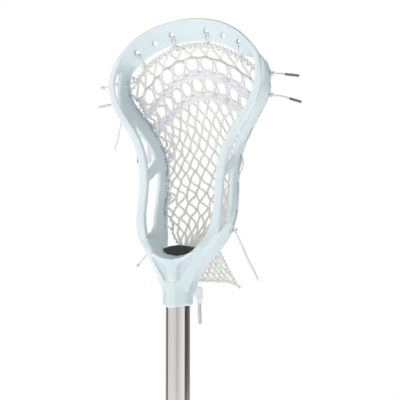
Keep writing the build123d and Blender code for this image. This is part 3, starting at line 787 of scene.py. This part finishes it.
for name, body, width, thickness, material, tip_material, tip_radius in CORDS:
    root = roots[body]
    line, end = thread_line(name, root)
    flat = width > 2 * thickness - 1
    strands = Strands()
    path = smooth_path([root] + line[1:-1] + [end], 8)
    t = np.linspace(0, 1, len(path))
    taper = 1 - 0.5 * np.clip((t - 0.5) / 0.5, 0, 1) * bool(tip_radius) * flat
    if not flat:
        taper = 0.72 + 0.28 * np.clip(t / 0.3, 0, 1)  # drawn tight where it leaves its knot
    sway = 0.35 * np.sin(t * 9)[:, None] * np.array((0.3, 1.0, 0.3)) * (t * (1 - t) * 4)[:, None]
    facing = (0.45, -0.9, 0.1) if flat else None
    strands.sweep(path + sway, width * taper, thickness * (0.7 if flat else 1), sides=12 if flat else 8,
                  facing=facing, squareness=0.6 if flat else 1.0)
    if width < 5:
        strands.knot(root, 1.2 * thickness, thickness * 0.85, 0.7)
    along = unit(path[-1] - path[-4])
    if tip_radius and tip_material is None:
        strands.knot(end + along * 1.0, 1.9, 1.5, 0.4)
    elif not tip_radius:
        for turn in range(6):
            spread = np.array([random.uniform(-1, 1) for _ in range(3)]) * width * 0.35
            fibre = [
                end - along * 1.5 + spread * 0.3,
                end + along * 0.8 + spread * 0.6,
                end + along * 2 + spread,
            ]
            strands.sweep(smooth_path(fibre, 3), np.linspace(0.7, 0.25, 7), sides=5)
    tip_node = f"{name}_tip"
    replaced = [name] + ([tip_node] if tip_node in nodes and tip_material is None else [])
    strands.piece(f"{name}_strand", material, body, "lace", *replaced)
    if tip_material is not None:
        _, nose = thread_line(tip_node, root)
        sleeve = Strands()
        tip(sleeve, end - along * 0.6, nose, tip_radius)
        sleeve.piece(f"{name}_aglet", tip_material, body, "tip_plastic", tip_node)


# ---------------------------------------------------------------- stage
def plain_material(name, colour, glow):
    m = Shader(name)
    m.principled(Base_Color=(*colour, 1), Roughness=0.9, Emission_Color=(1, 1, 1, 1), Emission_Strength=glow)
    return m.material


def studio():
    """Pale floor, a white surround and three soft lights."""
    bpy.ops.mesh.primitive_circle_add(vertices=64, radius=6, fill_type="NGON", location=(0, 0, -0.001))
    floor = bpy.context.object
    floor.name = "floor"
    floor.data.materials.append(plain_material("floor", (0.8, 0.8, 0.8), 0.75))

    centre = Vector(to_frame((0, 20, 160)))
    for name, place, size, power, colour in (
        ("key", (-1.2, -1.5, 0.8), 1.0, 10, (1.0, 0.99, 0.98)),
        ("fill", (0.9, -1.6, 0.1), 1.2, 2, (0.97, 0.985, 1.0)),
        ("back", (-0.5, 1.5, 0.9), 1.2, 3, (0.97, 0.98, 1.0)),
    ):
        lamp = bpy.data.lights.new(name, "AREA")
        lamp.size = size
        lamp.energy = power
        lamp.color = colour
        obj = bpy.data.objects.new(name, lamp)
        bpy.context.scene.collection.objects.link(obj)
        obj.location = centre + Vector(place)
        obj.rotation_euler = (centre - obj.location).to_track_quat("-Z", "Y").to_euler()

    world = bpy.data.worlds.new("studio")
    bpy.context.scene.world = world
    world.use_nodes = True
    tree = world.node_tree
    background = tree.nodes["Background"]
    background.inputs["Color"].default_value = (1, 1, 1, 1)
    output = tree.nodes["World Output"]
    # Seen directly the surround is white; reflections see dark cards behind and at the sides.
    ray = tree.nodes.new("ShaderNodeLightPath")
    position = tree.nodes.new("ShaderNodeTexCoord")
    split = tree.nodes.new("ShaderNodeSeparateXYZ")
    tree.links.new(position.outputs["Generated"], split.inputs[0])
    cards = tree.nodes.new("ShaderNodeMapRange")
    cards.inputs["From Min"].default_value = -0.35
    cards.inputs["From Max"].default_value = 0.25
    cards.inputs["To Min"].default_value = 1.05
    cards.inputs["To Max"].default_value = 0.16
    tree.links.new(split.outputs["Y"], cards.inputs["Value"])
    # Narrow upright strips between the cards give polished metal its bands.
    strips = tree.nodes.new("ShaderNodeMath")
    strips.operation = "MULTIPLY"
    tree.links.new(split.outputs["X"], strips.inputs[0])
    strips.inputs[1].default_value = 11
    wave = tree.nodes.new("ShaderNodeMath")
    wave.operation = "SINE"
    tree.links.new(strips.outputs[0], wave.inputs[0])
    banded = tree.nodes.new("ShaderNodeMath")
    banded.operation = "MULTIPLY_ADD"
    banded.use_clamp = True
    tree.links.new(wave.outputs[0], banded.inputs[0])
    banded.inputs[1].default_value = 0.22
    tree.links.new(cards.outputs[0], banded.inputs[2])
    soft = tree.nodes.new("ShaderNodeMapRange")
    soft.inputs["From Min"].default_value = -1
    soft.inputs["To Min"].default_value = 0.34
    soft.inputs["To Max"].default_value = 0.50
    tree.links.new(split.outputs["Z"], soft.inputs["Value"])
    reflected = tree.nodes.new("ShaderNodeMix")
    tree.links.new(ray.outputs["Is Glossy Ray"], reflected.inputs[0])
    tree.links.new(soft.outputs[0], reflected.inputs[2])
    tree.links.new(banded.outputs[0], reflected.inputs[3])
    seen = tree.nodes.new("ShaderNodeMix")
    tree.links.new(ray.outputs["Is Camera Ray"], seen.inputs[0])
    tree.links.new(reflected.outputs[0], seen.inputs[2])
    seen.inputs[3].default_value = 1.0
    tree.links.new(seen.outputs[0], background.inputs["Strength"])
    tree.links.new(background.outputs[0], output.inputs[0])
    bpy.context.scene.view_settings.view_transform = "Standard"


def camera():
    """Long lens, 27 degrees round to the right of the ball side and a little below the head."""
    turn, tilt = math.radians(27), math.radians(5.15)
    look = Vector((-math.sin(turn) * math.cos(tilt), math.cos(turn) * math.cos(tilt), math.sin(tilt)))
    data = bpy.data.cameras.new("camera")
    data.lens = 104.76
    data.sensor_width = 36
    obj = bpy.data.objects.new("camera", data)
    bpy.context.scene.collection.objects.link(obj)
    obj.location = (0.5838, -1.0942, COLLAR)
    obj.rotation_euler = look.to_track_quat("-Z", "Y").to_euler()
    bpy.context.scene.camera = obj


studio()
camera()
